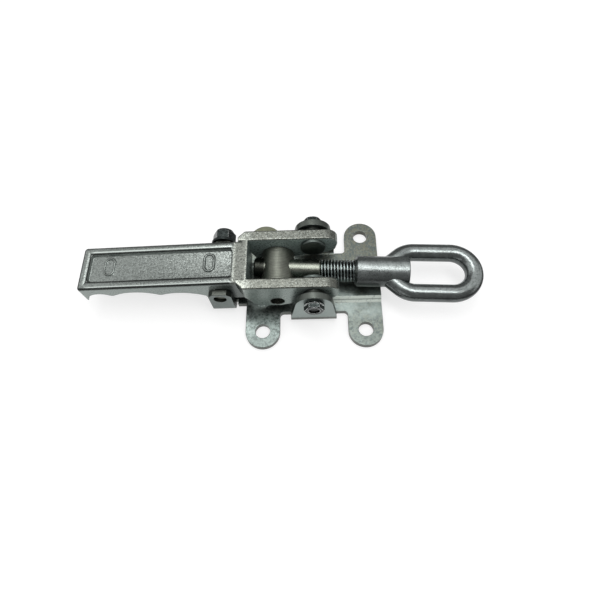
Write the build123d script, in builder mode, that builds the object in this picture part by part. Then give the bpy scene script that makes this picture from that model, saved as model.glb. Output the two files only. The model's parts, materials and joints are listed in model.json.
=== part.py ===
from build123d import *
from math import cos, radians, sin, tan
import os

# An over-centre draw latch with a threaded, turning link eye.
# +X runs towards the link eye, +Z is up from the face that the base is bolted to.
# The origin is the centre of the four ear holes, on the underside of the base.
# All sizes are in millimetres. The near side is -Y and the far side is +Y.

# Overall reach from the end of the grip to the end of the link eye
overall_length = 250.8
eye_end_x = 105.9

# Base plate, one stamping
plate_thickness = 4.0
ear_hole_diameter = 9.525
ear_width = 21.9
ear_hole_x = 32.7
ear_hole_y = 34.1
ear_root_fillet = 2.5
flange_half_width = 21.4
web_half_width = 12.2
web_rise = 2.5
web_run = 3.6
bend_inner_radius = 3.0

# Upright tabs of the base that carry the handle
tab_gap = 46.8
tab_foot_width = 28.8
tab_crown_radius = 11.4
tab_crown_drop = 2.8

# Tongue of the base with two lugs under the grip
tongue_half_width = 15.8
tongue_length = 20.6
lug_width = 14.2
lug_height = 27.0
lug_corner = 2.8
stop_inset = 6.9
stop_z = 21.5

# Main pivot
pivot_x = 0.5
pivot_z = 28.0
pivot_diameter = 9.0
pivot_head_diameter = 15.6
pivot_head_thickness = 2.0
pivot_thread_diameter = 7.0
pivot_nut_across_flats = 10.6
pivot_nut_height = 4.4
pivot_nut_collar = 1.4
pivot_end_recess = 0.9
pivot_washer_diameter = 13.2

# Handle, one casting
grip_width = 30.16
grip_top = 33.4
grip_droop = 1.9
grip_plate = 4.6
grip_round = 1.5
grip_corner_round = 2.2
ramp_round = 5.5
cheek_round = 0.9
skirt_thickness = 4.0
end_wall = 4.6
tip_z = 16.0
tip_flat = 1.8
scallop_step = 30.7
scallop_start = 19.0
scallop_cusp_z = 20.6
scallop_valley_z = 25.2
cusp_round = 2.4
skirt_bottom_z = 14.6
skirt_heel = 77.4
fork_top = 36.3
fork_gap = 26.4
cheek_thickness = 7.05
fork_nose = 15.3
bridge_x = -39.6
bridge_wall = 6.8
shoulder_length = 5.2
belly_z = 12.2
heel_rise = 7.6
panel_border = 5.4
panel_end_border = 5.4
panel_right = -49.2
panel_depth = 1.8
panel_corner = 2.5
panel_rim_round = 0.7
mark_length = 12.8
mark_width = 7.2
mark_rim = 1.2
mark_height = 0.7
mark_left_inset = 17.9
mark_right_inset = 14.5
mark_offset = 1.2

# Trunnion and draw bolt
link_x = -22.2
link_z = 18.5
link_shift = 2.0
link_sway = 3.0
trunnion_diameter = 20.5
journal_diameter = 9.0
journal_recess = 3.2
shank_diameter = 14.0
thread_diameter = 14.3
thread_start = 26.4
thread_end = 70.0
tail_head_diameter = 15.0
tail_head_thickness = 4.0

# Link: a tapped socket with a bent bar welded to its sides
bar_diameter = 11.1
eye_opening_length = 34.9
eye_opening_width = 17.5
socket_diameter = 19.4
socket_length = 33.6
socket_floor = 6.0
socket_chamfer = 1.6
eye_root_length = 13.0
eye_root_half = 4.0
eye_shoulder_radius = 14.0

# Stop stud across the lugs
stop_diameter = 8.0
stop_end_recess = 1.8
stop_notch_clearance = 1.75
stop_washer_diameter = 16.0
stop_washer_thickness = 1.6
stop_nut_across_flats = 13.0
stop_nut_height = 8.0
stop_nut_crown = 1.6
nut_crown_angle = 60

# Named clearances
running_gap = 0.05
side_gap = 0.25
lug_side_gap = 0.42
seat_gap = 0.05

# Sizes that follow from the ones above
plate_half_length = ear_hole_x + ear_width / 2
bend_outer_radius = bend_inner_radius + plate_thickness
tab_outer_y = tab_gap / 2 + plate_thickness
tab_bend_y = tab_outer_y - bend_outer_radius
tab_crown_z = pivot_z - tab_crown_drop
lug_outer_y = grip_width / 2 + lug_side_gap + plate_thickness
lug_bend_y = lug_outer_y - bend_outer_radius
tongue_end_x = -plate_half_length - tongue_length
lug_right_x = tongue_end_x + lug_width
stop_x = tongue_end_x + stop_inset
handle_end_x = eye_end_x - overall_length
fork_outer_y = fork_gap / 2 + cheek_thickness
nose_x = pivot_x + fork_nose
heel_x = handle_end_x + skirt_heel
eye_half = (eye_opening_width + bar_diameter) / 2
arc_centre = (eye_end_x - eye_half - bar_diameter / 2 - link_x) / cos(radians(link_sway))
socket_end = arc_centre + eye_opening_width / 2 - eye_opening_length
socket_start = socket_end - socket_length

# The draw bolt's axis: it crosses the trunnion a little to the far side and points to the near side
bolt_dir = (cos(radians(link_sway)), -sin(radians(link_sway)), 0)
link_plane = Plane(origin=(link_x, link_shift, link_z), x_dir=bolt_dir, z_dir=(0, 0, 1))
bolt_plane = Plane(origin=(link_x, link_shift, link_z), x_dir=(0, 0, 1), z_dir=bolt_dir)

# Top face of the grip, which falls a little towards its end
bridge_left = bridge_x - bridge_wall
ramp_end = bridge_x - 1.6
grip_run = bridge_left - handle_end_x
grip_fall = grip_run * tan(radians(grip_droop))
grip_face = Plane(
    origin=(bridge_left, 0, grip_top),
    x_dir=(cos(radians(grip_droop)), 0, sin(radians(grip_droop))),
    z_dir=(-sin(radians(grip_droop)), 0, cos(radians(grip_droop))),
)


def side_plane(distance):
    """Plane that faces the near side, this far from the middle. Its X and Y are the latch's X and Z."""
    return Plane.XZ.offset(distance)


# Base plate: half of it is drawn on the near side and then mirrored
with BuildPart() as base_plate:
    # Hat section of the web, with its low flange
    with BuildSketch(Plane.YZ.offset(-plate_half_length)):
        with BuildLine():
            Polyline(
                (0, web_rise),
                (0, web_rise + plate_thickness),
                (-web_half_width, web_rise + plate_thickness),
                (-web_half_width - web_run, plate_thickness),
                (-tab_bend_y, plate_thickness),
                (-tab_bend_y, 0),
                (-web_half_width - web_run + 1, 0),
                (-web_half_width + 1, web_rise),
                close=True,
            )
        make_face()
    extrude(amount=2 * plate_half_length)
    # Edge strip and ears, left out where the tab bends up
    with BuildSketch() as ears:
        with Locations((0, -tab_bend_y)):
            Rectangle(2 * plate_half_length, 2 * (flange_half_width - tab_bend_y))
        with Locations((-ear_hole_x, -ear_hole_y), (ear_hole_x, -ear_hole_y)):
            Circle(ear_width / 2)
            Rectangle(ear_width, ear_hole_y - tab_bend_y, align=(Align.CENTER, Align.MIN))
        inner_roots = ears.vertices().filter_by(
            lambda v: abs(abs(v.X) - ear_hole_x + ear_width / 2) < 0.01
            and abs(v.Y + flange_half_width) < 0.01
        )
        fillet(inner_roots, ear_root_fillet)
        with Locations((0, -tab_bend_y)):
            Rectangle(
                tab_foot_width, flange_half_width, align=(Align.CENTER, Align.MAX), mode=Mode.SUBTRACT
            )
        with Locations((-ear_hole_x, -ear_hole_y), (ear_hole_x, -ear_hole_y)):
            Circle(ear_hole_diameter / 2, mode=Mode.SUBTRACT)
    extrude(amount=plate_thickness)
    # Bend and upright of the pivot tab
    with BuildSketch(Plane.YZ.offset(-tab_foot_width / 2)):
        with Locations((-tab_bend_y, bend_outer_radius)):
            Circle(bend_outer_radius)
            Circle(bend_inner_radius, mode=Mode.SUBTRACT)
            Rectangle(
                bend_outer_radius, bend_outer_radius, align=(Align.MAX, Align.MAX), mode=Mode.INTERSECT
            )
    extrude(amount=tab_foot_width)
    with BuildSketch(side_plane(tab_outer_y)):
        with Locations((0, bend_outer_radius)):
            Rectangle(tab_foot_width, 1, align=(Align.CENTER, Align.MIN))
        with Locations((pivot_x, tab_crown_z)):
            Circle(tab_crown_radius)
        make_hull()
        with Locations((pivot_x, pivot_z)):
            Circle(pivot_diameter / 2, mode=Mode.SUBTRACT)
    extrude(amount=-plate_thickness)
    # Tongue at the height of the web, with a relief beside each lug
    with BuildSketch(Plane.XY.offset(web_rise)):
        with Locations((tongue_end_x, 0)):
            Rectangle(tongue_length + 1, lug_bend_y, align=(Align.MIN, Align.MAX))
        with Locations((lug_right_x + 1.2, 0)):
            Rectangle(
                -plate_half_length - lug_right_x - 1.2 + 0.5,
                tongue_half_width,
                align=(Align.MIN, Align.MAX),
            )
    extrude(amount=plate_thickness)
    # Bend and upright of the lug
    with BuildSketch(Plane.YZ.offset(tongue_end_x)):
        with Locations((-lug_bend_y, web_rise + bend_outer_radius)):
            Circle(bend_outer_radius)
            Circle(bend_inner_radius, mode=Mode.SUBTRACT)
            Rectangle(
                bend_outer_radius, bend_outer_radius, align=(Align.MAX, Align.MAX), mode=Mode.INTERSECT
            )
    extrude(amount=lug_width)
    with BuildSketch(side_plane(lug_outer_y)) as lug:
        with Locations((tongue_end_x, web_rise + bend_outer_radius)):
            Rectangle(lug_width, lug_height - web_rise - bend_outer_radius, align=Align.MIN)
        chamfer(lug.vertices().group_by(Axis.Y)[-1], lug_corner)
        with Locations((stop_x, stop_z)):
            Circle(stop_diameter / 2 + running_gap, mode=Mode.SUBTRACT)
    extrude(amount=-plate_thickness)
    mirror(about=Plane.XZ)

# Handle: half of the casting is drawn on the near side and then mirrored
cusp_1 = (handle_end_x + scallop_start, scallop_cusp_z)
cusp_2 = (cusp_1[0] + scallop_step, scallop_cusp_z)
with BuildPart() as handle:
    # Grip with its finger scallops, and the bridge to the fork
    with BuildSketch(side_plane(grip_width / 2)) as grip:
        with BuildLine():
            Polyline(
                (heel_x, skirt_bottom_z + heel_rise / 2),
                (heel_x + 2, skirt_bottom_z),
                (bridge_x, skirt_bottom_z),
                (bridge_x, fork_top),
                (ramp_end, fork_top),
                (bridge_left, grip_top),
                (handle_end_x, grip_top - grip_fall),
                (handle_end_x, tip_z),
                (handle_end_x + tip_flat, tip_z),
            )
            ThreePointArc(
                (handle_end_x + tip_flat, tip_z),
                (handle_end_x + scallop_start / 2, scallop_valley_z - 1.4),
                cusp_1,
            )
            ThreePointArc(cusp_1, (cusp_1[0] + scallop_step / 2, scallop_valley_z), cusp_2)
            ThreePointArc(
                cusp_2,
                ((cusp_2[0] + heel_x) / 2 - 1, scallop_valley_z - 2.2),
                (heel_x, skirt_bottom_z + heel_rise / 2),
            )
        make_face()
        fillet(
            grip.vertices().filter_by(
                lambda v: min(abs(v.X - cusp_1[0]), abs(v.X - cusp_2[0])) < 0.01
            ),
            cusp_round,
        )
        fillet(
            grip.vertices().filter_by(
                lambda v: min(abs(v.X - bridge_left), abs(v.X - ramp_end)) < 0.01 and v.Y > grip_top - 1
            ),
            ramp_round,
        )
    extrude(amount=-grip_width / 2)
    fillet(handle.edges().filter_by(Axis.Z).group_by(Axis.X)[0].sort_by(Axis.Y)[0], grip_corner_round)
    fillet(
        handle.edges().filter_by(
            lambda e: e.center().Z > grip_top - grip_fall - 0.05
            and (e.center().X < handle_end_x + 1 or e.center().Y < -grip_width / 2 + 1)
            and e.center().X < bridge_x - 0.01
        ),
        grip_round,
    )
    # Hollow under the grip
    with BuildSketch(grip_face.offset(-grip_plate)):
        Rectangle(
            grip_run - end_wall, grip_width / 2 - skirt_thickness, align=(Align.MAX, Align.MAX)
        )
    extrude(amount=-grip_top, mode=Mode.SUBTRACT)
    # Cheek of the fork, with a shoulder that widens from the grip
    with BuildPart(mode=Mode.PRIVATE) as cheek_blank:
        with BuildSketch(side_plane(fork_outer_y)) as cheek:
            with BuildLine():
                Polyline((bridge_x - shoulder_length - 1, fork_top), (pivot_x + 8, fork_top))
                TangentArc((pivot_x + 8, fork_top), (nose_x, pivot_z + 1), tangent=(1, 0))
                Polyline(
                    (nose_x, pivot_z + 1),
                    (nose_x - 1.2, pivot_z - 5),
                    (nose_x - 5.5, pivot_z - 8),
                    (link_x + 14, belly_z + 4),
                    (link_x + 2, belly_z),
                    (link_x - 11, belly_z),
                    (bridge_x + 2.6, belly_z + 2.4),
                    (bridge_x, belly_z + 9),
                    (bridge_x - shoulder_length - 1, fork_top - 6),
                    (bridge_x - shoulder_length - 1, fork_top),
                )
            make_face()
            fillet(
                cheek.vertices().filter_by(lambda v: v.Y < fork_top - 6.5 and v.X < nose_x - 0.6),
                2.2,
            )
        extrude(amount=-cheek_thickness)
        fillet(cheek_blank.faces().filter_by(Axis.Y).edges(), cheek_round)
    add(cheek_blank.part)
    with BuildSketch(Plane.XY.offset(fork_top)):
        with BuildLine():
            Polyline(
                (bridge_x - 1.6, -fork_outer_y),
                (bridge_x - 1.6 - shoulder_length, -grip_width / 2),
                (bridge_x - 3 * shoulder_length, -grip_width / 2),
                (bridge_x - 3 * shoulder_length, -2 * fork_outer_y),
                (bridge_x - 1.6, -2 * fork_outer_y),
                close=True,
            )
        make_face()
    extrude(amount=-fork_top, mode=Mode.SUBTRACT)
    # Holes for the pivot and the trunnion, and the notch over the stop stud
    with BuildSketch(side_plane(fork_outer_y)):
        with Locations((pivot_x, pivot_z)):
            Circle(pivot_diameter / 2)
        with Locations((link_x, link_z)):
            Circle(journal_diameter / 2)
    extrude(amount=-cheek_thickness, mode=Mode.SUBTRACT)
    with BuildSketch(side_plane(grip_width / 2)):
        with Locations((stop_x, stop_z)):
            Circle(stop_diameter / 2 + stop_notch_clearance)
            Rectangle(
                stop_diameter + 2 * stop_notch_clearance, stop_z, align=(Align.CENTER, Align.MAX)
            )
    extrude(amount=-skirt_thickness, mode=Mode.SUBTRACT)
    mirror(about=Plane.XZ)
    # Sunk panel on top of the grip, with two plain round-ended marks
    panel_start = panel_end_border - grip_run
    panel_end = panel_right - bridge_left
    with BuildSketch(grip_face):
        with Locations(((panel_start + panel_end) / 2, 0)):
            RectangleRounded(panel_end - panel_start, grip_width - 2 * panel_border, panel_corner)
    extrude(amount=-panel_depth, taper=20, mode=Mode.SUBTRACT)
    fillet(
        handle.edges().filter_by(
            lambda e: abs(grip_face.to_local_coords(e.center()).Z) < 0.02
            and abs(e.center().Y) < grip_width / 2 - panel_border + 0.1
            and handle_end_x + grip_corner_round < e.center().X < panel_right + 0.1
        ),
        panel_rim_round,
    )
    with BuildSketch(grip_face.offset(-panel_depth)):
        with Locations(
            (mark_left_inset - grip_run, mark_offset), (panel_end - mark_right_inset, mark_offset)
        ):
            SlotOverall(mark_length, mark_width, rotation=90)
            SlotOverall(
                mark_length - 2 * mark_rim, mark_width - 2 * mark_rim, rotation=90, mode=Mode.SUBTRACT
            )
    extrude(amount=mark_height)

# Trunnion: one turned piece, bored across for the draw bolt
with BuildPart() as trunnion:
    with BuildSketch(Plane.XZ):
        with Locations((link_x, link_z)):
            Circle(trunnion_diameter / 2)
    extrude(amount=fork_gap / 2 - side_gap, both=True)
    with BuildSketch(Plane.XZ):
        with Locations((link_x, link_z)):
            Circle(journal_diameter / 2 - running_gap)
    extrude(amount=fork_outer_y - journal_recess, both=True)
    with BuildSketch(bolt_plane):
        Circle(shank_diameter / 2 + running_gap)
    extrude(amount=trunnion_diameter, both=True, mode=Mode.SUBTRACT)

# Draw bolt: headed behind the trunnion, threaded into the link
head_start = trunnion_diameter / 2 + tail_head_diameter / 2 * sin(radians(link_sway)) + seat_gap
with BuildPart() as draw_bolt:
    with BuildSketch(bolt_plane.offset(-head_start - tail_head_thickness)):
        Circle(tail_head_diameter / 2)
    extrude(amount=tail_head_thickness)
    with BuildSketch(bolt_plane.offset(-head_start)):
        Circle(shank_diameter / 2)
    extrude(amount=head_start + thread_start)
    with BuildSketch(bolt_plane.offset(thread_start)):
        Circle(thread_diameter / 2)
    extrude(amount=thread_end - thread_start)
    chamfer(draw_bolt.faces().sort_by(Axis.X)[-1].edges(), 1.2)
    chamfer(draw_bolt.faces().sort_by(Axis.X)[0].edges(), 0.8)

# Socket of the link, tapped from the trunnion's side
with BuildPart() as link_socket:
    with BuildSketch(bolt_plane.offset(socket_start)):
        Circle(socket_diameter / 2)
    extrude(amount=socket_length)
    chamfer(link_socket.faces().sort_by(Axis.X)[0].edges(), socket_chamfer)
    chamfer(link_socket.faces().sort_by(Axis.X)[-1].edges(), 0.5)
    with BuildSketch(bolt_plane.offset(socket_start)):
        Circle(thread_diameter / 2 + running_gap)
    extrude(amount=socket_length - socket_floor, mode=Mode.SUBTRACT)

# Eye of the link: one bent bar whose ends close in on the socket
root_start = socket_end - eye_root_length
shoulder = root_start + eye_half - eye_root_half + 1
with BuildPart() as link_eye:
    with BuildLine(link_plane) as eye_path:
        FilletPolyline(
            (root_start, -eye_root_half),
            (shoulder, -eye_half),
            (arc_centre, -eye_half),
            radius=eye_shoulder_radius,
        )
        ThreePointArc((arc_centre, -eye_half), (arc_centre + eye_half, 0), (arc_centre, eye_half))
        FilletPolyline(
            (arc_centre, eye_half),
            (shoulder, eye_half),
            (root_start, eye_root_half),
            radius=eye_shoulder_radius,
        )
    bar = eye_path.wires()[0]
    with BuildSketch(Plane(origin=bar @ 0, z_dir=bar % 0)):
        Circle(bar_diameter / 2)
    sweep(path=bar)
    with BuildSketch(bolt_plane.offset(socket_start)):
        Circle(socket_diameter / 2)
    extrude(amount=socket_length, mode=Mode.SUBTRACT)

# Pivot pin, nut and washer on each side of the fork: the near set, then its mirror image
pin_head_y = fork_gap / 2 - side_gap - pivot_head_thickness
with BuildPart() as pivot_pin_near:
    with BuildSketch(side_plane(pin_head_y)):
        with Locations((pivot_x, pivot_z)):
            Circle(pivot_head_diameter / 2)
    extrude(amount=pivot_head_thickness)
    fillet(pivot_pin_near.faces().sort_by(Axis.Y)[-1].edges(), 0.8)
    with BuildSketch(side_plane(pin_head_y + pivot_head_thickness)):
        with Locations((pivot_x, pivot_z)):
            Circle(pivot_diameter / 2 - running_gap)
    extrude(amount=tab_outer_y - pin_head_y - pivot_head_thickness)
    with BuildSketch(side_plane(tab_outer_y)):
        with Locations((pivot_x, pivot_z)):
            Circle(pivot_thread_diameter / 2)
    extrude(amount=pivot_nut_height - pivot_end_recess)

with BuildPart() as pivot_nut_near:
    with BuildSketch(side_plane(tab_outer_y)):
        with Locations((pivot_x, pivot_z)):
            RegularPolygon(pivot_nut_across_flats / 2, 6, major_radius=False)
    extrude(amount=pivot_nut_height)
    with BuildSketch(side_plane(tab_outer_y)):
        with Locations((pivot_x, pivot_z)):
            Circle(pivot_nut_across_flats / 2 + pivot_nut_height * tan(radians(nut_crown_angle)))
    extrude(amount=pivot_nut_height, taper=nut_crown_angle, mode=Mode.INTERSECT)
    with BuildSketch(side_plane(tab_outer_y)):
        with Locations((pivot_x, pivot_z)):
            Circle(pivot_nut_across_flats / 2 + 0.7)
    extrude(amount=pivot_nut_collar)
    with BuildSketch(side_plane(tab_outer_y)):
        with Locations((pivot_x, pivot_z)):
            Circle(pivot_thread_diameter / 2 + running_gap)
    extrude(amount=pivot_nut_height, mode=Mode.SUBTRACT)

with BuildPart() as pivot_washer_near:
    with BuildSketch(side_plane(fork_outer_y + side_gap)):
        with Locations((pivot_x, pivot_z)):
            Circle(pivot_washer_diameter / 2)
            Circle(pivot_diameter / 2 + running_gap, mode=Mode.SUBTRACT)
    extrude(amount=tab_gap / 2 - fork_outer_y - side_gap)

with BuildPart() as pivot_pin_far:
    mirror(pivot_pin_near.part, about=Plane.XZ)
with BuildPart() as pivot_nut_far:
    mirror(pivot_nut_near.part, about=Plane.XZ)
with BuildPart() as pivot_washer_far:
    mirror(pivot_washer_near.part, about=Plane.XZ)

# Stop stud across the lugs, flush on the near side, with a washer and a lock nut on the far side
stop_far_end = lug_outer_y + stop_washer_thickness + stop_nut_height
stop_hex_height = stop_nut_height - stop_nut_crown
with BuildPart() as stop_stud:
    with BuildSketch(side_plane(lug_outer_y - stop_end_recess)):
        with Locations((stop_x, stop_z)):
            Circle(stop_diameter / 2)
    extrude(amount=-(lug_outer_y - stop_end_recess) - stop_far_end + 1)
    chamfer(stop_stud.faces().filter_by(Axis.Y).edges(), 0.6)

with BuildPart() as stop_washer:
    with BuildSketch(side_plane(-lug_outer_y)):
        with Locations((stop_x, stop_z)):
            Circle(stop_washer_diameter / 2)
            Circle(stop_diameter / 2 + running_gap, mode=Mode.SUBTRACT)
    extrude(amount=-stop_washer_thickness)

with BuildPart() as stop_nut:
    with BuildSketch(side_plane(-lug_outer_y - stop_washer_thickness)):
        with Locations((stop_x, stop_z)):
            RegularPolygon(stop_nut_across_flats / 2, 6, major_radius=False)
    extrude(amount=-stop_hex_height)
    with BuildSketch(side_plane(-lug_outer_y - stop_washer_thickness)):
        with Locations((stop_x, stop_z)):
            Circle(stop_nut_across_flats / 2 + stop_hex_height * tan(radians(nut_crown_angle)))
    extrude(amount=-stop_hex_height, taper=nut_crown_angle, mode=Mode.INTERSECT)
    with BuildSketch(side_plane(-lug_outer_y - stop_washer_thickness)):
        with Locations((stop_x, stop_z)):
            Circle(stop_nut_across_flats / 2 - 0.7)
    extrude(amount=-stop_nut_height)
    with BuildSketch(side_plane(-lug_outer_y - stop_washer_thickness)):
        with Locations((stop_x, stop_z)):
            Circle(stop_diameter / 2 + running_gap)
    extrude(amount=-stop_nut_height, mode=Mode.SUBTRACT)

# Write one file for each piece
pieces = {
    "base_plate": base_plate,
    "handle": handle,
    "trunnion": trunnion,
    "draw_bolt": draw_bolt,
    "link_socket": link_socket,
    "link_eye": link_eye,
    "pivot_pin_near": pivot_pin_near,
    "pivot_pin_far": pivot_pin_far,
    "pivot_nut_near": pivot_nut_near,
    "pivot_nut_far": pivot_nut_far,
    "pivot_washer_near": pivot_washer_near,
    "pivot_washer_far": pivot_washer_far,
    "stop_stud": stop_stud,
    "stop_washer": stop_washer,
    "stop_nut": stop_nut,
}
os.makedirs("parts", exist_ok=True)
for name, piece in pieces.items():
    piece.part.label = name
    export_step(piece.part, f"parts/{name}.step")
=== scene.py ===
import json
from math import cos, pi, radians, sin

import bmesh
import bpy
from mathutils import Matrix, Vector


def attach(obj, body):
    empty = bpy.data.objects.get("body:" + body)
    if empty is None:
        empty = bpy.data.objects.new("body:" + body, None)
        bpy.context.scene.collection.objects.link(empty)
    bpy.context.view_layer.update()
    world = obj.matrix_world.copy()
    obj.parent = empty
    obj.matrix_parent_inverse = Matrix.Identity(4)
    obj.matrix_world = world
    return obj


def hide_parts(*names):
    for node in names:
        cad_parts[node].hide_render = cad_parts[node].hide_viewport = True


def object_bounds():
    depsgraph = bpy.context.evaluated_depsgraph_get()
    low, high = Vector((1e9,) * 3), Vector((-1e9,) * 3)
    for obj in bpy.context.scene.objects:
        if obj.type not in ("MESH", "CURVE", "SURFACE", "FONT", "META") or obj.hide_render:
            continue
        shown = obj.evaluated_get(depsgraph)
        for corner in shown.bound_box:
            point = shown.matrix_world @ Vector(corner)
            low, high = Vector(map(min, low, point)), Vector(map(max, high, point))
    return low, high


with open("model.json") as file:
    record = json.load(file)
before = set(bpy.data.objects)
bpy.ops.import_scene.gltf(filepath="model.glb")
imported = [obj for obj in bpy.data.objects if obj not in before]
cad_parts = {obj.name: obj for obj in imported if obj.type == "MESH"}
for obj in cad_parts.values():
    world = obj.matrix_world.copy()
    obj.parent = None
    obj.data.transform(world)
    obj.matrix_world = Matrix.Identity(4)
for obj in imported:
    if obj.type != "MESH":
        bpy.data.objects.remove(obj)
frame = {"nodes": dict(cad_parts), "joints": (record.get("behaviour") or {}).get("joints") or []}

bl_info = {
    "name": "Draw latch finishing",
    "version": (1, 0, 0),
    "blender": (4, 5, 0),
    "location": "3D View > Sidebar > Latch",
    "description": "Finishes, thread and studio for an over-centre draw latch",
    "category": "Object",
}

MM = 0.001
CAD_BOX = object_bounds()
JOINTS = {joint["name"]: joint for joint in frame["joints"]}
BOLT_ORIGIN = Vector(JOINTS["link_turn"]["pos_m"])
BOLT_AXIS = Vector(JOINTS["link_turn"]["axis"]).normalized()

# Places where a finish changes, in millimetres: a mask rises from 0 to 1 between the two numbers.

NEAR_EAR_HOLE_Y = (-40.0, -31.0)
NEAR_EAR_ROOT_Y = (-24.0, -20.0)
NEAR_LEFT_EAR_X = (-22.0, -12.0)
FAR_EAR_Y = (28.0, 34.0)
FAR_LEFT_EAR_X = (-22.0, -10.0)
WEB_NEAR_SIDE_Y = (-29.0, -23.0)
WEB_MIDDLE_Y = (-6.0, 0.0)
WEB_RIGHT_X = (6.0, 14.0)
TABS_AND_LUGS_Z = (7.5, 10.0)
LUGS_X = (-52.0, -46.0)
BEND_FOOT_Z = (3.9, 4.3)
BEND_TOP_Z = (6.6, 7.0)
SHADE_LINE_FOOT_Z = (5.0, 5.2)
SHADE_LINE_TOP_Z = (5.4, 5.6)

GRIP_TOP_Z = (29.1, 29.4)
GRIP_RELIEF_X = (-50.0, -48.5)
GRIP_SHOULDER_X = (-50.5, -49.0)
GRIP_TAIL_X = (-140.0, -95.0)
BRIDGE_X = (-50.0, -47.5)
FORK_X = (-41.5, -36.0)
FORK_WINDOW_X = (-40.6, -39.8)
CHEEK_INSIDE_Y = (13.6, 14.4)
NEAR_CHEEK_Y = (-14.0, -12.0)
LUG_SHADE_START_X = (-60.0, -54.0)
LUG_SHADE_END_X = (-44.0, -41.0)
FROM_GRIP_END = (4.0, 7.0)


# Nodes as expressions


class Field:
    """A value that varies over a surface. Arithmetic on it adds Math nodes to its tree."""

    def __init__(self, recipe, socket):
        self.recipe = recipe
        self.socket = socket

    def math(self, operation, *others, clamp=False):
        node = self.recipe.node(
            "ShaderNodeMath", {"operation": operation, "use_clamp": clamp}, dict(enumerate([self, *others]))
        )
        return node[0]

    def __add__(self, other):
        return self.math("ADD", other)

    def __radd__(self, other):
        return self.math("ADD", other)

    def __mul__(self, other):
        return self.math("MULTIPLY", other)

    def __rmul__(self, other):
        return self.math("MULTIPLY", other)

    def __sub__(self, other):
        return self.math("SUBTRACT", other)

    def __rsub__(self, other):
        return (self * -1.0) + other

    def __truediv__(self, other):
        return self.math("DIVIDE", other)

    def clamped(self):
        return self.math("ADD", 0.0, clamp=True)

    def between(self, low, high):
        """0 below low, 1 above high, and a straight ramp between them."""
        return ((self - low) / (high - low)).clamped()


class Outputs:
    """A node's outputs, by name or by number, as fields."""

    def __init__(self, recipe, node):
        self.recipe = recipe
        self.made = node

    def __getitem__(self, key):
        return Field(self.recipe, self.made.outputs[key])


class Recipe:
    """A node tree that is written as plain calls."""

    def __init__(self, tree):
        self.tree = tree

    def node(self, kind, settings=None, inputs=None):
        made = self.tree.nodes.new(kind)
        for key, value in (settings or {}).items():
            setattr(made, key, value)
        for key, value in (inputs or {}).items():
            self.feed(made.inputs[key], value)
        return Outputs(self, made)

    def feed(self, socket, value):
        if isinstance(value, Field):
            self.tree.links.new(value.socket, socket)
        else:
            socket.default_value = value

    def mix(self, mask, first, second):
        """Colour that goes from first to second as the mask goes from 0 to 1."""
        return self.node("ShaderNodeMix", {"data_type": "RGBA"}, {0: mask, 6: first, 7: second})[2]

    def blend(self, mask, first, second):
        """Number that goes from first to second as the mask goes from 0 to 1."""
        return mask * (second - first) + first


def opaque(colour):
    """This colour, as a colour socket takes it."""
    return (colour[0], colour[1], colour[2], 1.0)


def shade(colour, factor):
    """This colour made this many times as bright, as a colour socket takes it."""
    return (colour[0] * factor, colour[1] * factor, colour[2] * factor, 1.0)


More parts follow.
